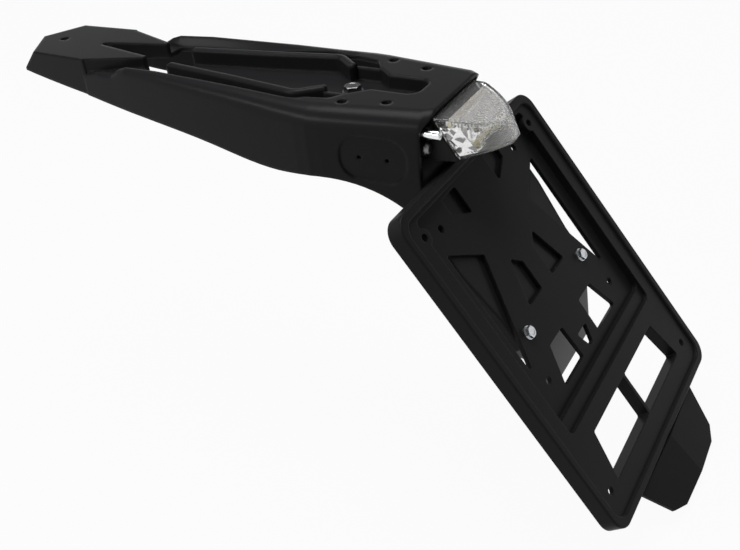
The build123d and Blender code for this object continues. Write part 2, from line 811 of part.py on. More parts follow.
# Web that joins the mouths of the cups
with BuildPart() as cup_web:
    add(cup_space)
    split(bisect_by=mouth_plane.offset(-liner_wall), keep=Keep.TOP)
    split(bisect_by=mouth_plane, keep=Keep.BOTTOM)
    web_end = mouth_plane.from_local_coords((0, -cup_web_drop, 0))
    split(bisect_by=Plane(origin=web_end, z_dir=mouth_plane.y_dir), keep=Keep.TOP)

# Bright reflector: liner round the board, open at the top, with the cups in it
with BuildPart() as light_reflector:
    add(liner_solid)
    split(bisect_by=seal_plane, keep=Keep.TOP)
    split(bisect_by=mouth_plane, keep=Keep.BOTTOM)
    add(liner_void, mode=Mode.SUBTRACT)
    with BuildSketch(Plane.XY.offset(lens_top_z - liner_top)):
        Rectangle(2 * side_reach, 2 * side_reach)
    extrude(amount=past, mode=Mode.SUBTRACT)
    with BuildSketch(mouth_plane):
        Rectangle(2 * lamp_window_half, 2 * side_reach, align=(Align.CENTER, Align.MAX))
    extrude(amount=-cup_long, mode=Mode.SUBTRACT)
    add(cup_web.part)
    add(cup_shells.part)
    add(cup_bores.part, mode=Mode.SUBTRACT)
    add(cup_space, mode=Mode.INTERSECT)
light_reflector.part.label = "light_reflector"
export_step(light_reflector.part, "parts/light_reflector.step")

# Prism panel under the roof of the lens
with BuildPart() as reflex_insert:
    add(reflex_solid)
    add(reflex_void, mode=Mode.SUBTRACT)
    split(bisect_by=cup_plane, keep=Keep.TOP)
    split(bisect_by=across(reflex_rear_y), keep=Keep.BOTTOM)
reflex_insert.part.label = "reflex_insert"
export_step(reflex_insert.part, "parts/reflex_insert.step")

# Pan-head screws through the lugs
with BuildPart() as light_screws:
    with BuildSketch(across(lug_rear_y)):
        with Locations((lug_x, lug_z), (-lug_x, lug_z)):
            Circle(light_screw_head_r)
    extrude(amount=light_screw_head)
    head_rim = edges().filter_by_position(Axis.Y, -side_reach, lug_rear_y - light_screw_head + fit)
    fillet(head_rim, radius=light_screw_head_round)
    with BuildSketch(across(lug_rear_y)):
        with Locations((lug_x, lug_z), (-lug_x, lug_z)):
            Circle(light_screw_r)
    extrude(amount=-lug_thick - light_screw_grip)
light_screws.part.label = "light_screws"
export_step(light_screws.part, "parts/light_screws.step")

# Bright studs that line the light up with the body
with BuildPart() as light_studs:
    with BuildSketch(across(stud_rear_y)):
        with Locations((stud_x, stud_z), (-stud_x, stud_z)):
            Circle(stud_r)
    extrude(amount=stud_rear_y - lug_rear_y - lug_thick - stud_sunk)
    chamfer(edges().filter_by(GeomType.CIRCLE), length=stud_chamfer)
light_studs.part.label = "light_studs"
export_step(light_studs.part, "parts/light_studs.step")

# Rubber grommet for the light's cable
with BuildPart() as cable_grommet:
    with BuildSketch(across(housing_front_y)):
        with Locations((0, grommet_z)):
            Circle(grommet_r)
    extrude(amount=-grommet_flange)
    with BuildSketch(across(housing_front_y - housing_wall)):
        with Locations((0, grommet_z)):
            Circle(grommet_r)
    extrude(amount=grommet_flange)
    with BuildSketch(across(housing_front_y - housing_wall)):
        with Locations((0, grommet_z)):
            Circle(grommet_r - grommet_flange)
    extrude(amount=-housing_wall - grommet_long)
    with BuildSketch(across(housing_front_y - housing_wall - grommet_flange)):
        with Locations((0, grommet_z)):
            Circle(cable_bore_r)
    extrude(amount=-past, mode=Mode.SUBTRACT)
cable_grommet.part.label = "cable_grommet"
export_step(cable_grommet.part, "parts/cable_grommet.step")

# Plate frame: raised rim, flat band, sunk web with openings, two long windows
plate_mid = (0, -plate_long / 2)
back_plane = plate_plane.offset(-plate_deep)
foot_plane = Plane(
    origin=(0, *down_plate(plate_long, 0)),
    x_dir=(1, 0, 0),
    z_dir=(0, -sin(radians(plate_tilt)), -cos(radians(plate_tilt))),
)
bolt_places = [(bolt_x, -bolt_v), (-bolt_x, -bolt_v)]
plate_holes = []
for hole_x, hole_v in (
    (upper_hole_x, upper_hole_v),
    (upper_hole_x, lower_hole_v),
    (web_hole_x, web_hole_v),
    (low_hole_x, low_hole_v),
):
    plate_holes += [(hole_x, -hole_v), (-hole_x, -hole_v)]
window_points = [(window_rib / 2, -window_top), (window_top_half, -window_top)]
window_points += [(window_end_half, -window_end), (window_rib / 2, -window_end)]
notch_cut = [(notch_top_half, -notch_top_v), (notch_end_half, -notch_end_v)]
step_end = panel_end + panel_step
flap_screw_places = [(flap_screw_x, -flap_screw_d), (-flap_screw_x, -flap_screw_d)]
with BuildPart() as plate_frame:
    with BuildSketch(plate_plane):
        with Locations(plate_mid):
            RectangleRounded(plate_wide, plate_long, plate_corner)
    extrude(amount=-plate_deep)
    with BuildSketch(plate_plane):
        with Locations(plate_mid):
            RectangleRounded(plate_wide - 2 * rim_wide, plate_long - 2 * rim_wide, band_corner)
    extrude(amount=-band_deep, mode=Mode.SUBTRACT)
    rim_face = faces().sort_by(Axis(plate_plane.origin, plate_plane.z_dir))[-1]
    fillet(rim_face.edges(), radius=rim_round)
    # Sunk web, with a pad left round each upper hole, and the step below it
    with BuildSketch(plate_plane):
        with Locations((0, -panel_top)):
            Rectangle(2 * panel_half, panel_end - panel_top, align=(Align.CENTER, Align.MAX))
        fillet(vertices(), radius=panel_corner)
        with Locations((upper_hole_x, -upper_hole_v), (-upper_hole_x, -upper_hole_v)):
            Circle(hole_pad_r, mode=Mode.SUBTRACT)
    extrude(amount=-panel_deep, mode=Mode.SUBTRACT)
    with BuildSketch(plate_plane):
        with Locations((0, panel_corner - panel_end)):
            Rectangle(2 * panel_half, panel_step + panel_corner, align=(Align.CENTER, Align.MAX))
        fillet(vertices().group_by(Axis.Y)[0], radius=panel_corner)
    extrude(amount=-step_deep, mode=Mode.SUBTRACT)
    # Pocket behind the band leaves a skin all round
    with BuildSketch(back_plane):
        with Locations(plate_mid):
            RectangleRounded(plate_wide - 2 * skin, plate_long - 2 * skin, plate_corner - skin)
        with Locations((0, skin - panel_top)):
            high = step_end - panel_top + 2 * skin
            Rectangle(2 * (panel_half + skin), high, align=(Align.CENTER, Align.MAX), mode=Mode.SUBTRACT)
        for side in (1, -1):
            with BuildLine():
                pocket_points = [(0, skin - window_top), (window_top_half + skin, skin - window_top)]
                pocket_points += [(window_end_half + skin, -skin - window_end), (0, -skin - window_end)]
                Polyline(*[(side * x, y) for x, y in pocket_points], close=True)
            make_face(mode=Mode.SUBTRACT)
        with Locations((upper_hole_x, -upper_hole_v), (-upper_hole_x, -upper_hole_v)):
            Circle(hole_pad_r, mode=Mode.SUBTRACT)
    extrude(amount=plate_deep - band_deep - skin, mode=Mode.SUBTRACT)
    # Bosses for the screws of the flap
    with BuildSketch(foot_plane):
        with Locations(*flap_screw_places):
            Circle(flap_boss_r)
    extrude(amount=-flap_boss_long)
    # Openings in the web, windows and holes
    with BuildSketch(plate_plane):
        for opening in (upper_opening, side_opening, centre_opening, lower_opening):
            for side in (1, -1):
                with BuildLine():
                    Polyline(*[(side * x, -v) for x, v in opening], close=True)
                make_face()
        with BuildLine():
            Polyline(*mirrored(notch_cut), close=True)
        make_face()
        for side in (1, -1):
            with BuildLine():
                Polyline(*[(side * x, y) for x, y in window_points], close=True)
            make_face()
        fillet(vertices(), radius=web_corner)
        with Locations(*plate_holes):
            Circle(plate_hole_r)
        with Locations(*bolt_places):
            Circle(bolt_r + hole_play)
    extrude(amount=-plate_deep, mode=Mode.SUBTRACT)
    with BuildSketch(foot_plane):
        with Locations(*flap_screw_places):
            Circle(flap_screw_r + fit)
    extrude(amount=-flap_boss_long, mode=Mode.SUBTRACT)
plate_frame.part.label = "plate_frame"
export_step(plate_frame.part, "parts/plate_frame.step")

# Hex bolts through the web and the tongue
washer_plane = plate_plane.offset(-panel_deep)
head_plane = washer_plane.offset(washer_thick)
behind_plane = plate_plane.offset(-tongue_set - tongue_thick)
nut_plane = behind_plane.offset(-washer_thick)
stack = tongue_set + tongue_thick - panel_deep + 2 * washer_thick
with BuildPart() as plate_bolts:
    with BuildSketch(head_plane):
        with Locations(*bolt_places):
            RegularPolygon(bolt_flats / 2, 6, major_radius=False)
    extrude(amount=bolt_head)
    with BuildSketch(head_plane):
        with Locations(*bolt_places):
            Circle(bolt_r)
    extrude(amount=-stack - nut_high - thread_out)
plate_bolts.part.label = "plate_bolts"
export_step(plate_bolts.part, "parts/plate_bolts.step")

# Washers under the heads and under the nuts
with BuildPart() as plate_washers:
    for plane, reach in ((washer_plane, washer_thick), (behind_plane, -washer_thick)):
        with BuildSketch(plane):
            with Locations(*bolt_places):
                Circle(washer_r)
                Circle(bolt_r + hole_play, mode=Mode.SUBTRACT)
        extrude(amount=reach)
plate_washers.part.label = "plate_washers"
export_step(plate_washers.part, "parts/plate_washers.step")

# Hex nuts behind the tongue
with BuildPart() as plate_nuts:
    with BuildSketch(nut_plane):
        with Locations(*bolt_places):
            RegularPolygon(bolt_flats / 2, 6, major_radius=False)
            Circle(bolt_r + fit, mode=Mode.SUBTRACT)
    extrude(amount=-nut_high)
plate_nuts.part.label = "plate_nuts"
export_step(plate_nuts.part, "parts/plate_nuts.step")

# Flap below the plate frame, folded along its centre line, with a flange on top
flap_top = plate_long + fit + flap_gap
flap_plane = sloped(*down_plate(flap_top, flap_set), plate_tilt + flap_lean)
fold_plane = Plane(origin=flap_plane.origin, x_dir=(1, 0, 0), z_dir=-flap_plane.y_dir)
flange_plane = foot_plane.offset(fit)
with BuildPart() as mudflap:
    with BuildSketch(fold_plane):
        with BuildLine():
            fold = [(-flap_half, 0), (0, flap_ridge), (flap_half, 0)]
            fold += [(flap_half, -flap_thick), (0, flap_ridge - flap_thick), (-flap_half, -flap_thick)]
            Polyline(*fold, close=True)
        make_face()
    extrude(amount=flap_drop)
    with BuildSketch(flap_plane):
        with BuildLine():
            flap_points = [(flap_half, 0), (flap_mid_half, -flap_mid), (flap_end_half, -flap_drop)]
            Polyline(*mirrored(flap_points), close=True)
        make_face()
    extrude(amount=past, both=True, mode=Mode.INTERSECT)
    with BuildSketch(flange_plane):
        with Locations((0, -flap_set)):
            Rectangle(2 * flange_half, flange_deep, align=(Align.CENTER, Align.MAX))
    extrude(amount=flange_thick)
    with BuildSketch(flange_plane):
        with Locations(*flap_screw_places):
            Circle(flap_screw_r + fit)
    extrude(amount=flange_thick, mode=Mode.SUBTRACT)
mudflap.part.label = "mudflap"
export_step(mudflap.part, "parts/mudflap.step")

# Screws up through the flange into the plate frame
with BuildPart() as flap_screws:
    with BuildSketch(flange_plane.offset(flange_thick)):
        with Locations(*flap_screw_places):
            Circle(flap_screw_head_r)
    extrude(amount=flap_screw_head)
    with BuildSketch(flange_plane.offset(flange_thick)):
        with Locations(*flap_screw_places):
            Circle(flap_screw_r)
    extrude(amount=-flap_screw_long)
flap_screws.part.label = "flap_screws"
export_step(flap_screws.part, "parts/flap_screws.step")

# Hex bolt and washer in the floor of the tray
floor_z = tray_floor - tray_depth
with BuildPart() as centre_washer:
    with BuildSketch(Plane.XY.offset(floor_z)):
        with Locations((0, centre_bolt_y)):
            Circle(centre_washer_r)
            Circle(centre_bolt_r + hole_play, mode=Mode.SUBTRACT)
    extrude(amount=centre_washer_thick)
centre_washer.part.label = "centre_washer"
export_step(centre_washer.part, "parts/centre_washer.step")
with BuildPart() as centre_bolt:
    with BuildSketch(Plane.XY.offset(floor_z + centre_washer_thick)):
        with Locations((0, centre_bolt_y)):
            RegularPolygon(centre_bolt_flats / 2, 6, major_radius=False)
    extrude(amount=centre_bolt_head)
    with BuildSketch(Plane.XY.offset(floor_z + centre_washer_thick)):
        with Locations((0, centre_bolt_y)):
            Circle(centre_bolt_r)
    extrude(amount=-centre_bolt_long)
centre_bolt.part.label = "centre_bolt"
export_step(centre_bolt.part, "parts/centre_bolt.step")
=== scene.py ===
"""Looks of a motorbike tail tidy: moulded body, clear tail light, plate frame and mudflap."""

import logging
from dataclasses import dataclass
from enum import Enum
from functools import cache
from math import atan2, cos, pi, radians, sin

import bpy
from mathutils import Matrix, Vector


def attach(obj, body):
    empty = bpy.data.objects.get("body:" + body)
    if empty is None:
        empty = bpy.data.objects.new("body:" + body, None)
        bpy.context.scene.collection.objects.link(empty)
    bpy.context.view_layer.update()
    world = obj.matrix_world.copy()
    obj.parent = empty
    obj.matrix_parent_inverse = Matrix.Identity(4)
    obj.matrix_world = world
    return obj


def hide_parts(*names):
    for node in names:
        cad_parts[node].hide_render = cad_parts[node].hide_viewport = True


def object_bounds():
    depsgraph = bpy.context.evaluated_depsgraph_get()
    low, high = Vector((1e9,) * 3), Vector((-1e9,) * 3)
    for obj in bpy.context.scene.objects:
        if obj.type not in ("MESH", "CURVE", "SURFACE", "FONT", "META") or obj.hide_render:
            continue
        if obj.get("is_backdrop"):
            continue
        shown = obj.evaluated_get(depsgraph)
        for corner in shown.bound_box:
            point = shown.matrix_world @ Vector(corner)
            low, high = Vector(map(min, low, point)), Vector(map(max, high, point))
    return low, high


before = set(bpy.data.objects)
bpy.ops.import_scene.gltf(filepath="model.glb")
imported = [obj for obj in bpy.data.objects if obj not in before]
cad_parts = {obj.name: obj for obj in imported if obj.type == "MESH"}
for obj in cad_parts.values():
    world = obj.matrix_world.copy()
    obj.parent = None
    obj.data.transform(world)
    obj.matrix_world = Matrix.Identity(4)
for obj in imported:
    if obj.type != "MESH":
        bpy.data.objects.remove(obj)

LOG = logging.getLogger("tail_tidy")
MM = 0.001
SIDES = (1, -1)
RING_POINTS = 48
Triple = tuple[float, float, float]
Tree = bpy.types.NodeTree
Socket = bpy.types.NodeSocket
Node = bpy.types.Node


class Grain(Enum):
    """Relief that a finish carries."""

    MOULDED = "moulded"
    TURNED = "turned"
    PLATED = "plated"


@dataclass(frozen=True)
class Finish:
    """An opaque or metal finish with its relief, its uneven gloss and its softened edges."""

    name: str
    colour: Triple
    roughness: float
    metallic: float = 0.0
    specular: float = 0.5
    grain: Grain = Grain.MOULDED
    grain_size: float = 0.6 * MM
    grain_depth: float = 0.02 * MM
    grain_detail: float = 2.0
    turned_stretch: Triple = (1.0, 0.08, 1.0)
    cloud: float = 0.03
    cloud_scale: float = 38.0
    cloud_detail: float = 3.0
    edge_soft: float = 0.0
    edge_samples: int = 6

    def material(self) -> bpy.types.Material:
        """Makes the finish's material.

        Returns:
            The new material.
        """
        made, shader = new_material(self.name)
        shader.inputs["Base Color"].default_value = (*self.colour, 1.0)
        shader.inputs["Metallic"].default_value = self.metallic
        shader.inputs["Specular IOR Level"].default_value = self.specular
        place = made.node_tree.nodes.new("ShaderNodeTexCoord").outputs["Object"]
        self.cloud_gloss(made.node_tree, place, shader)
        self.relieve(made.node_tree, place, shader)
        return made

    def cloud_gloss(self, tree: Tree, place: Socket, shader: Node) -> None:
        """Lets the gloss drift a little over the piece.

        Args:
            tree: The material's nodes.
            place: Object coordinates.
            shader: The material's shader.
        """
        drift = tree.nodes.new("ShaderNodeTexNoise")
        drift.inputs["Scale"].default_value = self.cloud_scale
        drift.inputs["Detail"].default_value = self.cloud_detail
        spread = tree.nodes.new("ShaderNodeMapRange")
        spread.inputs["To Min"].default_value = self.roughness - self.cloud
        spread.inputs["To Max"].default_value = self.roughness + self.cloud
        tree.links.new(place, drift.inputs["Vector"])
        tree.links.new(drift.outputs["Fac"], spread.inputs["Value"])
        tree.links.new(spread.outputs["Result"], shader.inputs["Roughness"])

    def relieve(self, tree: Tree, place: Socket, shader: Node) -> None:
        """Lays the grain over the softened edges.

        Args:
            tree: The material's nodes.
            place: Object coordinates.
            shader: The material's shader.
        """
        bump = tree.nodes.new("ShaderNodeBump")
        bump.inputs["Distance"].default_value = self.grain_depth
        tree.links.new(self.grain_height(tree, place), bump.inputs["Height"])
        if self.edge_soft:
            soft = tree.nodes.new("ShaderNodeBevel")
            soft.samples = self.edge_samples
            soft.inputs["Radius"].default_value = self.edge_soft
            tree.links.new(soft.outputs["Normal"], bump.inputs["Normal"])
        tree.links.new(bump.outputs["Normal"], shader.inputs["Normal"])

    def grain_height(self, tree: Tree, place: Socket) -> Socket:
        """Makes the height of the grain.

        Args:
            tree: The material's nodes.
            place: Object coordinates.

        Returns:
            A socket that carries the height.
        """
        if self.grain is Grain.PLATED:
            relief = tree.nodes.new("ShaderNodeTexVoronoi")
            height = relief.outputs["Distance"]
        else:
            relief = tree.nodes.new("ShaderNodeTexNoise")
            relief.inputs["Detail"].default_value = self.grain_detail
            height = relief.outputs["Fac"]
        relief.inputs["Scale"].default_value = 1.0 / self.grain_size
        if self.grain is Grain.TURNED:
            stretch = tree.nodes.new("ShaderNodeMapping")
            stretch.inputs["Scale"].default_value = self.turned_stretch
            tree.links.new(place, stretch.inputs["Vector"])
            place = stretch.outputs["Vector"]
        tree.links.new(place, relief.inputs["Vector"])
        return height


@dataclass(frozen=True)
class ClearFinish:
    """A clear or hazy moulding, frosted toward its rear tip where it has a frost."""

    name: str
    colour: Triple
    roughness: float
    ior: float = 1.3
    clarity: float = 1.0
    speckle: float = 1.3 * MM
    speckle_depth: float = 0.42 * MM
    frost: float = 0.0
    frost_from: float = -71.0 * MM
    frost_to: float = -80.0 * MM
    clear_speckle: float = 0.05
    frosted_speckle: float = 1.0

    def material(self) -> bpy.types.Material:
        """Makes the clear material.

        Returns:
            The new material.
        """
        made, shader = new_material(self.name)
        shader.inputs["Base Color"].default_value = (*self.colour, 1.0)
        shader.inputs["Roughness"].default_value = self.roughness
        shader.inputs["IOR"].default_value = self.ior
        shader.inputs["Transmission Weight"].default_value = self.clarity
        tree = made.node_tree
        place = tree.nodes.new("ShaderNodeTexCoord").outputs["Object"]
        pebble = tree.nodes.new("ShaderNodeTexVoronoi")
        pebble.inputs["Scale"].default_value = 1.0 / self.speckle
        bump = tree.nodes.new("ShaderNodeBump")
        bump.inputs["Distance"].default_value = self.speckle_depth
        tree.links.new(place, pebble.inputs["Vector"])
        tree.links.new(pebble.outputs["Distance"], bump.inputs["Height"])
        tree.links.new(bump.outputs["Normal"], shader.inputs["Normal"])
        if self.frost:
            apart = tree.nodes.new("ShaderNodeSeparateXYZ")
            tree.links.new(place, apart.inputs["Vector"])
            along = apart.outputs["Y"]
            rough = self.ramp(tree, along, self.roughness, self.frost)
            tree.links.new(rough, shader.inputs["Roughness"])
            strength = self.ramp(tree, along, self.clear_speckle, self.frosted_speckle)
            tree.links.new(strength, bump.inputs["Strength"])
        return made

    def ramp(self, tree: Tree, along: Socket, clear: float, frosted: float) -> Socket:
        """Runs a value from the clear part of the moulding to its frosted tip.

        Args:
            tree: The material's nodes.
            along: Place along the moulding.
            clear: The value where it is clear.
            frosted: The value where it is frosted.

        Returns:
            A socket that carries the value.
        """
        run = tree.nodes.new("ShaderNodeMapRange")
        run.inputs["From Min"].default_value = self.frost_from
        run.inputs["From Max"].default_value = self.frost_to
        run.inputs["To Min"].default_value = clear
        run.inputs["To Max"].default_value = frosted
        tree.links.new(along, run.inputs["Value"])
        return run.outputs["Result"]


AnyFinish = Finish | ClearFinish

BLACK_BODY = Finish(
    "satin_black_moulding", (0.0128, 0.0128, 0.0138), 0.29, specular=0.07, edge_soft=3.0 * MM
)
BLACK_FRAME = Finish(
    "matt_black_moulding", (0.0115, 0.0115, 0.0115), 0.4, specular=0.06, edge_soft=1.0 * MM
)
BLACK_FLAP = Finish(
    "matt_black_sheet", (0.0105, 0.0105, 0.0105), 0.5, specular=0.06, edge_soft=0.8 * MM
)
BLACK_HOUSING = Finish("black_light_housing", (0.007, 0.007, 0.007), 0.5, specular=0.2)
SOFT_RUBBER = Finish("soft_black_rubber", (0.01, 0.01, 0.01), 0.75, specular=0.15)
PALE_LAMINATE = Finish("pale_board_laminate", (0.82, 0.75, 0.46), 0.45)
DIODE_RESIN = Finish("cast_diode_resin", (0.75, 0.72, 0.6), 0.3)
BRIGHT_PLATING = Finish(
    "mirror_plated_plastic",
    (0.92, 0.92, 0.93),
    0.06,
    metallic=1.0,
    grain=Grain.PLATED,
    grain_size=7.0 * MM,
    grain_depth=3.0 * MM,
)
DARK_STEEL = Finish(
    "dark_screw_steel", (0.2, 0.2, 0.205), 0.36, metallic=1.0, grain=Grain.TURNED
)
BRIGHT_STEEL = Finish(
    "bright_turned_steel", (0.85, 0.86, 0.87), 0.16, metallic=1.0, grain=Grain.TURNED
)
ZINC_STEEL = Finish(
    "zinc_plated_steel", (0.62, 0.64, 0.66), 0.3, metallic=1.0, grain_size=0.4 * MM
)
PRISM_PLASTIC = ClearFinish(
    "hazy_prism_plastic", (0.95, 0.93, 0.92), 0.12, ior=1.4, clarity=0.8
)
FLUTE_PLASTIC = ClearFinish(
    "milky_flute_plastic", (0.95, 0.95, 0.93), 0.2, clarity=0.1, speckle_depth=0.02 * MM
)
CLEAR_PLASTIC = ClearFinish(
    "clear_lens_plastic", (0.98, 0.98, 0.975), 0.02, ior=1.2, clarity=0.95, frost=0.12
)


def new_material(name: str) -> tuple[bpy.types.Material, Node]:
    """Makes a material with one shader.

    Args:
        name: The material's name.

    Returns:
        The material and its shader node.
    """
    made = bpy.data.materials.new(name)
    made.use_nodes = True
    return made, made.node_tree.nodes["Principled BSDF"]


@cache
def material_of(finish: AnyFinish) -> bpy.types.Material:
    """Gives a finish's material, made once."""
    return finish.material()


def dress(node: str, finish: AnyFinish) -> None:
    """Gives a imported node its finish.

    Args:
        node: Name of the node.
        finish: Finish for all of it.
    """
    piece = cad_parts[node]
    piece.data.materials.clear()
    piece.data.materials.append(material_of(finish))
    LOG.info("dressed %s in %s", node, finish.name)


def linked(name: str, mesh: bpy.types.Mesh) -> bpy.types.Object:
    """Puts a mesh in the scene.

    Args:
        name: Name of the object.
        mesh: Its mesh, already in place.

    Returns:
        The new object, at the origin.
    """
    made = bpy.data.objects.new(name, mesh)
    bpy.context.scene.collection.objects.link(made)
    return made


class Grower:
    """A Geometry Nodes tree with named inputs that grows one piece from a seed mesh."""

    def __init__(self, name: str) -> None:
        """Starts an empty tree.

        Args:
            name: Name of the tree.
        """
        self.tree = bpy.data.node_groups.new(name, "GeometryNodeTree")
        for way in ("INPUT", "OUTPUT"):
            self.tree.interface.new_socket(
                "Geometry", in_out=way, socket_type="NodeSocketGeometry"
            )
        self.entry = self.tree.nodes.new("NodeGroupInput")
        self.leave = self.tree.nodes.new("NodeGroupOutput")
        self.values: dict[str, object] = {}

    def named(self, name: str, kind: str, value: object) -> Socket:
        """Adds a named input.

        Args:
            name: Name of the input.
            kind: Its socket type.
            value: Its value on the modifier.

        Returns:
            The socket that carries it inside the tree.
        """
        item = self.tree.interface.new_socket(name, in_out="INPUT", socket_type=kind)
        self.values[item.identifier] = value
        return next(out for out in self.entry.outputs if out.identifier == item.identifier)

    def node(self, kind: str, **inputs: object) -> Node:
        """Adds a node.

        Args:
            kind: Type of the node.
            inputs: Sockets to link and constants to set, by input name with _ for a space.

        Returns:
            The new node.
        """
        made = self.tree.nodes.new(kind)
        for name, value in inputs.items():
            socket = made.inputs[name.replace("_", " ")]
            if isinstance(value, Socket):
                self.tree.links.new(value, socket)
            else:
                socket.default_value = value
        return made

    def grow(
        self, name: str, seed: bpy.types.Mesh, shown: Socket, finish: AnyFinish, slot: str
    ) -> bpy.types.Object:
        """Ends the tree, runs it and keeps the result as a plain piece.

        Args:
            name: Name of the piece.
            seed: Mesh that the tree starts from.
            shown: Instances that the tree makes.
            finish: Finish of the piece.
            slot: The record's material slot, which is not used.

        Returns:
            The piece, riding on the part's body.
        """
        real = self.node("GeometryNodeRealizeInstances", Geometry=shown)
        painted = self.node(
            "GeometryNodeSetMaterial", Geometry=real.outputs[0], Material=material_of(finish)
        )
        self.tree.links.new(painted.outputs[0], self.leave.inputs[0])
        start = linked(f"{name}_seed", seed)
        modifier = start.modifiers.new("grow", "NODES")
        modifier.node_group = self.tree
        for identifier, value in self.values.items():
            modifier[identifier] = value
        settled = start.evaluated_get(bpy.context.evaluated_depsgraph_get())
        mesh = bpy.data.meshes.new_from_object(settled)
        mesh.name = name
        bpy.data.objects.remove(start)
        piece = linked(name, mesh)
        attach(piece, "root")
        LOG.info("grew %s with %d faces", name, len(mesh.polygons))
        return piece


@dataclass(frozen=True)
class Ring:
    """One ring of a turned fastener, in millimetres.

    A hexagonal ring's radius is half its flats, and its corners may fall below its height.
    """

    height: float
    radius: float
    hexagonal: bool = False
    fall: float = 0.0

    def corner(self, angle: float) -> Vector:
        """Gives the ring's point at an angle.

        Args:
            angle: Angle round the axis.

        Returns:
            The point in metres.
        """
        reach = self.radius
        if self.hexagonal:
            reach /= cos((angle % (pi / 3)) - pi / 6)
        height = self.height - self.fall * (reach - self.radius)
        return Vector((reach * cos(angle), reach * sin(angle), height)) * MM


def turned_mesh(name: str, rings: list[Ring]) -> bpy.types.Mesh:
    """Makes a closed mesh from rings that run from the head's middle down to the tip.

    Args:
        name: Name of the mesh.
        rings: The rings in order.

    Returns:
        The mesh, about the Z axis.
    """
    angles = [2 * pi * k / RING_POINTS for k in range(RING_POINTS)]
    points = [ring.corner(angle) for ring in rings for angle in angles]
    faces = [tuple(range(RING_POINTS))]
    for lap in range(len(rings) - 1):
        upper = lap * RING_POINTS
        lower = upper + RING_POINTS
        for k in range(RING_POINTS):
            after = (k + 1) % RING_POINTS
            faces.append((upper + k, lower + k, lower + after, upper + after))
    faces.append(tuple(reversed(range(len(points) - RING_POINTS, len(points)))))
    mesh = bpy.data.meshes.new(name)
    mesh.from_pydata(points, [], faces)
    mesh.validate()
    return mesh


@dataclass(frozen=True)
class HexHead:
    """A bolt's hexagonal head with a shallow dish in its top.

    Heights are in millimetres, and the radii of the dish and the crown are shares of half the
    flats. The chamfer's fall is its slope toward the corners.
    """

    high: float
    flats: float
    dish_depth: float = 0.25
    dish_step: float = 0.2
    dish_floor: float = 0.5
    dish_wall: float = 0.62
    dish_rim: float = 0.7
    crown: float = 0.94
    chamfer: float = 0.12
    chamfer_fall: float = 0.55

    def rings(self) -> list[Ring]:
        """Lists the rings of the head.

        Returns:
            Rings from the middle of the top down to the seat.
        """
        half = self.flats / 2
        return [
            Ring(self.high - self.dish_depth, self.dish_floor * half),
            Ring(self.high - self.dish_step, self.dish_wall * half),
            Ring(self.high, self.dish_rim * half),
            Ring(self.high, self.crown * half),
            Ring(self.high - self.chamfer, half, True, self.chamfer_fall),
            Ring(0.0, half, True),
        ]


@dataclass(frozen=True)
class DomedHead:
    """A screw's domed head with a hexagonal socket.

    Lengths are in millimetres. The socket's floor and the dome's foot are shares of the
    head's height, and the crown is a share of half the socket.
    """

    high: float
    radius: float
    socket: float
    socket_floor: float = 0.4
    dome_foot: float = 0.3
    dome_steps: int = 5
    crown: float = 1.2

    def rings(self) -> list[Ring]:
        """Lists the rings of the head.

        Returns:
            Rings from the floor of the socket out and down to the seat.
        """
        half = self.socket / 2
        crown = half * self.crown
        rings = [Ring(self.socket_floor * self.high, half, True), Ring(self.high, half, True)]
        for step in range(1, self.dome_steps + 1):
            swing = step * pi / (2 * self.dome_steps)
            height = self.high * (self.dome_foot + (1 - self.dome_foot) * cos(swing))
            rings.append(Ring(height, crown + (self.radius - crown) * sin(swing)))
        rings.append(Ring(0.0, self.radius))
        return rings


@dataclass
class Fasteners:
    """One kind of bolt or screw, put at each of its places.

    Lengths are in millimetres. The depths of the thread and of the tip are shares of the pitch.
    """

    node: str
    places: list[Triple]
    lean: float
    radius: float
    length: float
    pitch: float
    head: HexHead | DomedHead
    thread_depth: float = 0.45
    tip_shoulder: float = 0.2
    tip_depth: float = 0.6

    def shank_rings(self) -> list[Ring]:
        """Lists the rings of the threaded shank.

        Returns:
            Rings from the seat down to the tip.
        """
        rings = [Ring(0.0, self.radius)]
        root = self.radius - self.thread_depth * self.pitch
        turns = int(self.length / self.pitch) - 1
        for turn in range(turns):
            crest = -(turn + 0.5) * self.pitch
            rings += [Ring(crest, self.radius), Ring(crest - self.pitch / 2, root)]
        shoulder = self.radius - self.tip_shoulder * self.pitch
        rings.append(Ring(self.pitch / 2 - self.length, shoulder))
        rings.append(Ring(-self.length, self.radius - self.tip_depth * self.pitch))
        return rings

    def build(self, finish: Finish, slot: str) -> None:
        """Makes the fasteners and stands them in for their node.

        Args:
            finish: Finish of the steel.
            slot: The record's material slot, which is not used.
        """
        rings = self.head.rings() + self.shank_rings()
        pattern = linked(f"{self.node}_pattern", turned_mesh(f"{self.node}_pattern", rings))
        seed = bpy.data.meshes.new(f"{self.node}_places")
        seed.from_pydata([Vector(place) * MM for place in self.places], [], [])
        grower = Grower(f"{self.node}_tree")
        one = grower.named("Pattern", "NodeSocketObject", pattern)
        lean = grower.named("Lean", "NodeSocketFloat", self.lean)
        shape = grower.node("GeometryNodeObjectInfo", Object=one, As_Instance=True)
        turn = grower.node("ShaderNodeCombineXYZ", X=lean)
        spread = grower.node(
            "GeometryNodeInstanceOnPoints",
            Points=grower.entry.outputs[0],
            Instance=shape.outputs["Geometry"],
            Rotation=turn.outputs[0],
        )
        piece = grower.grow(f"{self.node}_turned", seed, spread.outputs[0], finish, slot)
        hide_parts(self.node)
        bpy.data.objects.remove(pattern)


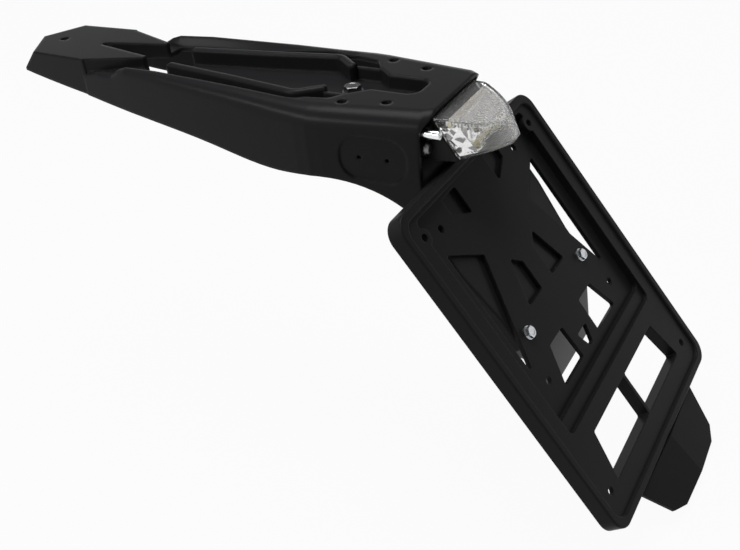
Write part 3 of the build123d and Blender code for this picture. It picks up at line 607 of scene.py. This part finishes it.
@dataclass
class TailBody:
    """The moulding from the nose to the tongue, with the bolt in its tray, in millimetres."""

    bolt_y: float = 13.0
    bolt_seat: float = -8.9
    bolt_radius: float = 3.0
    bolt_long: float = 22.0
    bolt_pitch: float = 1.0
    bolt_head: HexHead = HexHead(high=4.0, flats=10.0)

    def build(self) -> None:
        """Dresses the body and makes its bolt."""
        dress("tail_body", BLACK_BODY)
        dress("centre_washer", DARK_STEEL)
        bolt = Fasteners(
            node="centre_bolt",
            places=[(0.0, self.bolt_y, self.bolt_seat)],
            lean=0.0,
            radius=self.bolt_radius,
            length=self.bolt_long,
            pitch=self.bolt_pitch,
            head=self.bolt_head,
        )
        bolt.build(DARK_STEEL, "zinc_steel")


@dataclass
class TailLight:
    """The clear light under the rear end of the body.

    Lengths are in millimetres. The prisms start behind the reflector's web, and their corner
    is the corner radius of a square over half its side.
    """

    half: float = 30.0
    corner_y: float = -66.0
    tip_y: float = -93.0
    tip_half: float = 5.0
    bow: float = 3.5
    roof_y: float = -68.0
    roof_z: float = -5.2
    roof_slope: float = 0.272
    flute_inset: float = 2.65
    flute_drop: float = 3.8
    flute_pitch: float = 2.0
    flute_radius: float = 0.52
    flute_high: float = 3.0
    flute_sides: int = 10
    path_steps: int = 24
    path_first: int = 2
    prism_side: float = 1.7
    prism_high: float = 0.8
    prism_drop: float = 3.8
    prism_front_y: float = -74.3
    prism_rear_y: float = -85.5
    prism_margin: float = 1.4
    prism_corner: float = 1.414
    screw_x: float = 34.8
    screw_y: float = -56.5
    screw_z: float = -23.0
    screw_radius: float = 2.0
    screw_long: float = 16.0
    screw_pitch: float = 0.8
    screw_head: DomedHead = DomedHead(high=2.6, radius=3.9, socket=2.5)

    def flank_point(self, share: float, inset: float) -> Vector:
        """Gives a point of the right flank in plan, drawn in by an inset.

        Args:
            share: Way along the flank from its corner to the tip.
            inset: Distance in from the outer face.

        Returns:
            The point, with no height yet.
        """
        corner = Vector((self.half, self.corner_y, 0.0))
        tip = Vector((self.tip_half, self.tip_y, 0.0))
        flank = atan2(corner.y - tip.y, corner.x - tip.x)
        out = Vector((sin(flank), -cos(flank), 0.0))
        bulge = self.bow * 4 * share * (1 - share) - inset
        return corner.lerp(tip, share) + out * bulge

    def roof_at(self, y: float) -> float:
        """Gives the height of the lens roof at a place along it."""
        return self.roof_z + self.roof_slope * (y - self.roof_y)

    def flutes(self) -> None:
        """Grows the row of flutes that runs round under the brow of the lens."""
        shares = [step / self.path_steps for step in range(self.path_first, self.path_steps + 1)]
        right = [self.flank_point(share, self.flute_inset) for share in shares]
        path = right + [Vector((-p.x, p.y, 0.0)) for p in reversed(right)]
        points = [
            (p.x * MM, p.y * MM, (self.roof_at(p.y) - self.flute_drop) * MM) for p in path
        ]
        seed = bpy.data.meshes.new("flute_path")
        seed.from_pydata(points, [(k, k + 1) for k in range(len(points) - 1)], [])
        grower = Grower("lens_flutes_tree")
        pitch = grower.named("Pitch", "NodeSocketFloat", self.flute_pitch * MM)
        radius = grower.named("Radius", "NodeSocketFloat", self.flute_radius * MM)
        high = grower.named("Height", "NodeSocketFloat", self.flute_high * MM)
        curve = grower.node("GeometryNodeMeshToCurve", Mesh=grower.entry.outputs[0])
        even = grower.node("GeometryNodeResampleCurve", Curve=curve.outputs[0])
        even.mode = "LENGTH"
        grower.tree.links.new(pitch, even.inputs["Length"])
        flute = grower.node(
            "GeometryNodeMeshCylinder", Vertices=self.flute_sides, Radius=radius, Depth=high
        )
        spread = grower.node(
            "GeometryNodeInstanceOnPoints",
            Points=even.outputs[0],
            Instance=flute.outputs["Mesh"],
        )
        grower.grow("lens_flutes", seed, spread.outputs[0], FLUTE_PLASTIC, "prism_plastic")

    def prism_places(self) -> list[Triple]:
        """Lists where the prisms stand, row by row toward the tip.

        Returns:
            The places in metres.
        """
        places = []
        rows = int((self.prism_front_y - self.prism_rear_y) / self.prism_side)
        inset = self.flute_inset + self.prism_margin * self.prism_side
        for row in range(rows):
            y = self.prism_front_y - row * self.prism_side
            z = self.roof_at(y) - self.prism_drop
            share = (self.corner_y - y) / (self.corner_y - self.tip_y)
            count = int(self.flank_point(share, inset).x / self.prism_side)
            for column in range(-count, count + 1):
                places.append((column * self.prism_side * MM, y * MM, z * MM))
        return places

    def prisms(self) -> None:
        """Grows the field of small prisms under the reflex panel."""
        seed = bpy.data.meshes.new("prism_places")
        seed.from_pydata(self.prism_places(), [], [])
        grower = Grower("lens_prisms_tree")
        reach = self.prism_side / 2 * self.prism_corner * MM
        side = grower.named("Half side", "NodeSocketFloat", reach)
        high = grower.named("Height", "NodeSocketFloat", self.prism_high * MM)
        prism = grower.node("GeometryNodeMeshCone", Vertices=4, Radius_Bottom=side, Depth=high)
        spread = grower.node(
            "GeometryNodeInstanceOnPoints",
            Points=grower.entry.outputs[0],
            Instance=prism.outputs["Mesh"],
            Rotation=(pi + atan2(self.roof_slope, 1.0), 0.0, pi / 4),
        )
        grower.grow("lens_prisms", seed, spread.outputs[0], PRISM_PLASTIC, "prism_plastic")

    def build(self) -> None:
        """Dresses the light from its housing out to the lens and adds its fine moulding."""
        dress("light_housing", BLACK_HOUSING)
        dress("housing_seal", SOFT_RUBBER)
        dress("cable_grommet", SOFT_RUBBER)
        dress("light_board", PALE_LAMINATE)
        dress("tail_leds", DIODE_RESIN)
        dress("plate_leds", DIODE_RESIN)
        dress("light_reflector", BRIGHT_PLATING)
        dress("reflex_insert", PRISM_PLASTIC)
        dress("light_lens", CLEAR_PLASTIC)
        dress("light_studs", BRIGHT_STEEL)
        self.flutes()
        self.prisms()
        screws = Fasteners(
            node="light_screws",
            places=[(side * self.screw_x, self.screw_y, self.screw_z) for side in SIDES],
            lean=pi / 2,
            radius=self.screw_radius,
            length=self.screw_long,
            pitch=self.screw_pitch,
            head=self.screw_head,
        )
        screws.build(DARK_STEEL, "screw_steel")


@dataclass
class PlateFrame:
    """The sloping plate frame, its two bolts and the flap below it.

    Lengths are in millimetres, and the tilt is in degrees from upright.
    """

    top_y: float = -65.7
    top_z: float = -38.8
    tilt: float = 36.0
    long: float = 237.0
    bolt_x: float = 47.3
    bolt_v: float = 111.4
    bolt_seat: float = 7.2
    bolt_radius: float = 2.0
    bolt_long: float = 15.1
    bolt_pitch: float = 0.7
    bolt_head: HexHead = HexHead(high=2.8, flats=7.0)
    flange: float = 3.0
    screw_x: float = 34.0
    screw_deep: float = 7.0
    screw_radius: float = 2.0
    screw_long: float = 12.0
    screw_pitch: float = 0.8
    screw_head: DomedHead = DomedHead(high=2.2, radius=3.4, socket=2.5)

    def down(self, x: float, v: float, d: float) -> Triple:
        """Gives a point on the plate frame's own slope.

        Args:
            x: Distance to the right.
            v: Distance down from the top edge.
            d: Distance behind the rim.

        Returns:
            The point in the part's frame.
        """
        turn = radians(self.tilt)
        y = self.top_y - v * sin(turn) + d * cos(turn)
        z = self.top_z - v * cos(turn) - d * sin(turn)
        return (x, y, z)

    def build(self) -> None:
        """Dresses the frame and the flap and makes their fasteners."""
        dress("plate_frame", BLACK_FRAME)
        dress("plate_washers", ZINC_STEEL)
        dress("plate_nuts", ZINC_STEEL)
        dress("mudflap", BLACK_FLAP)
        bolts = Fasteners(
            node="plate_bolts",
            places=[self.down(side * self.bolt_x, self.bolt_v, self.bolt_seat) for side in SIDES],
            lean=radians(90.0 - self.tilt),
            radius=self.bolt_radius,
            length=self.bolt_long,
            pitch=self.bolt_pitch,
            head=self.bolt_head,
        )
        bolts.build(ZINC_STEEL, "zinc_steel")
        seat = self.long + self.flange
        screws = Fasteners(
            node="flap_screws",
            places=[self.down(side * self.screw_x, seat, self.screw_deep) for side in SIDES],
            lean=radians(180.0 - self.tilt),
            radius=self.screw_radius,
            length=self.screw_long,
            pitch=self.screw_pitch,
            head=self.screw_head,
        )
        screws.build(DARK_STEEL, "screw_steel")


def seen_rays(tree: Tree) -> Socket:
    """Marks the rays that show the background: from the camera, through glass and by mirror.

    Args:
        tree: The nodes to add to.

    Returns:
        A socket that is 1 for such a ray.
    """
    path = tree.nodes.new("ShaderNodeLightPath")
    seen = path.outputs["Is Camera Ray"]
    for kind in ("Is Transmission Ray", "Is Glossy Ray"):
        either = tree.nodes.new("ShaderNodeMath")
        either.operation = "MAXIMUM"
        tree.links.new(seen, either.inputs[0])
        tree.links.new(path.outputs[kind], either.inputs[1])
        seen = either.outputs[0]
    return seen


@dataclass(frozen=True)
class Lamp:
    """One soft lamp, in metres and watts."""

    name: str
    place: Triple
    aim: Triple
    wide: float
    high: float
    power: float

    def hang(self) -> None:
        """Hangs the lamp and points it at its aim."""
        data = bpy.data.lights.new(self.name, "AREA")
        data.shape = "RECTANGLE"
        data.size = self.wide
        data.size_y = self.high
        data.energy = self.power
        made = bpy.data.objects.new(self.name, data)
        made.location = self.place
        toward = Vector(self.aim) - Vector(self.place)
        made.rotation_euler = toward.to_track_quat("-Z", "Y").to_euler()
        bpy.context.scene.collection.objects.link(made)


LAMPS = (
    Lamp("overhead", (0.15, 0.25, 1.7), (0.0, 0.0, -0.05), 1.3, 1.3, 33.0),
    Lamp("roll_strip", (-1.5, 0.92, 0.95), (0.0, 0.0, 0.0), 1.3, 0.2, 14.0),
    Lamp("rear_fill", (-0.4, -1.9, 1.1), (0.0, -0.1, -0.15), 1.2, 0.8, 1.5),
)


@dataclass
class Studio:
    """Pale floor, soft lamps and the camera.

    Lengths are in metres where the name gives no unit. The eye and the three directions come
    from a perspective fit of the plate frame in the photograph, and the focal length and the
    width of the image are in its pixels.
    """

    eye_mm: Triple = (-508.36, -315.62, 246.19)
    right: Triple = (0.48743, -0.86717, -0.10218)
    up: Triple = (0.52360, 0.19663, 0.82896)
    ahead: Triple = (0.69875, 0.45756, -0.54989)
    focal_px: float = 997.4
    image_wide_px: int = 740
    sensor_mm: float = 36.0
    near: float = 0.01
    far: float = 50.0
    floor_drop: float = 4.0 * MM
    floor_half: float = 6.0
    wall_high: float = 1.9
    floor_grey: float = 0.4
    floor_rough: float = 0.9
    floor_gloss: float = 0.1
    floor_white: float = 0.95
    room_light: float = 0.2

    def camera(self) -> None:
        """Places the camera where the photograph was taken from."""
        data = bpy.data.cameras.new("camera")
        data.sensor_fit = "HORIZONTAL"
        data.sensor_width = self.sensor_mm
        data.lens = self.sensor_mm * self.focal_px / self.image_wide_px
        data.clip_start = self.near
        data.clip_end = self.far
        made = bpy.data.objects.new("camera", data)
        axes = (Vector(self.right), Vector(self.up), -Vector(self.ahead))
        turn = Matrix(axes).transposed().to_4x4()
        made.matrix_world = Matrix.Translation(Vector(self.eye_mm) * MM) @ turn
        bpy.context.scene.collection.objects.link(made)
        bpy.context.scene.camera = made

    def floor(self, low: float) -> None:
        """Lays the pale floor and the low backdrop round it.

        Args:
            low: Height of the object's lowest point.
        """
        half = self.floor_half
        height = low - self.floor_drop
        mesh = bpy.data.meshes.new("floor")
        ring = [(-half, -half), (half, -half), (half, half), (-half, half)]
        corners = [(x, y, level) for level in (height, height + self.wall_high) for x, y in ring]
        count = len(ring)
        walls = []
        for k in range(count):
            after = (k + 1) % count
            walls.append((after, k, k + count, after + count))
        mesh.from_pydata(corners, [], [tuple(range(count)), *walls])
        mesh.materials.append(self.floor_material())
        made = linked("floor", mesh)
        made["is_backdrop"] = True

    def floor_material(self) -> bpy.types.Material:
        """Makes the floor's finish, which is seen as white but lights the object as grey.

        Returns:
            The new material.
        """
        material, shader = new_material("pale_floor")
        tree = material.node_tree
        grey = self.floor_grey
        shader.inputs["Base Color"].default_value = (grey, grey, grey, 1.0)
        shader.inputs["Roughness"].default_value = self.floor_rough
        shader.inputs["Specular IOR Level"].default_value = self.floor_gloss
        part = tree.nodes.new("ShaderNodeMath")
        part.operation = "MULTIPLY"
        part.inputs[1].default_value = self.floor_white
        tree.links.new(seen_rays(tree), part.inputs[0])
        white = tree.nodes.new("ShaderNodeEmission")
        mix = tree.nodes.new("ShaderNodeMixShader")
        tree.links.new(part.outputs[0], mix.inputs["Fac"])
        tree.links.new(shader.outputs["BSDF"], mix.inputs[1])
        tree.links.new(white.outputs["Emission"], mix.inputs[2])
        tree.links.new(mix.outputs["Shader"], tree.nodes["Material Output"].inputs["Surface"])
        return material

    def light(self) -> None:
        """Hangs the soft lamps and sets the room's own light."""
        for lamp in LAMPS:
            lamp.hang()
        world = bpy.data.worlds.new("room")
        world.use_nodes = True
        bpy.context.scene.world = world
        shader = world.node_tree.nodes["Background"]
        shader.inputs["Color"].default_value = (1.0, 1.0, 1.0, 1.0)
        shader.inputs["Strength"].default_value = self.room_light


def main() -> None:
    """Builds the looks piece by piece."""
    logging.basicConfig(level=logging.INFO)
    cad_low, cad_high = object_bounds()
    bpy.context.scene.view_settings.view_transform = "Standard"
    TailBody().build()
    TailLight().build()
    PlateFrame().build()
    studio = Studio()
    studio.camera()
    studio.floor(cad_low.z)
    studio.light()


if __name__ == "__main__":
    main()
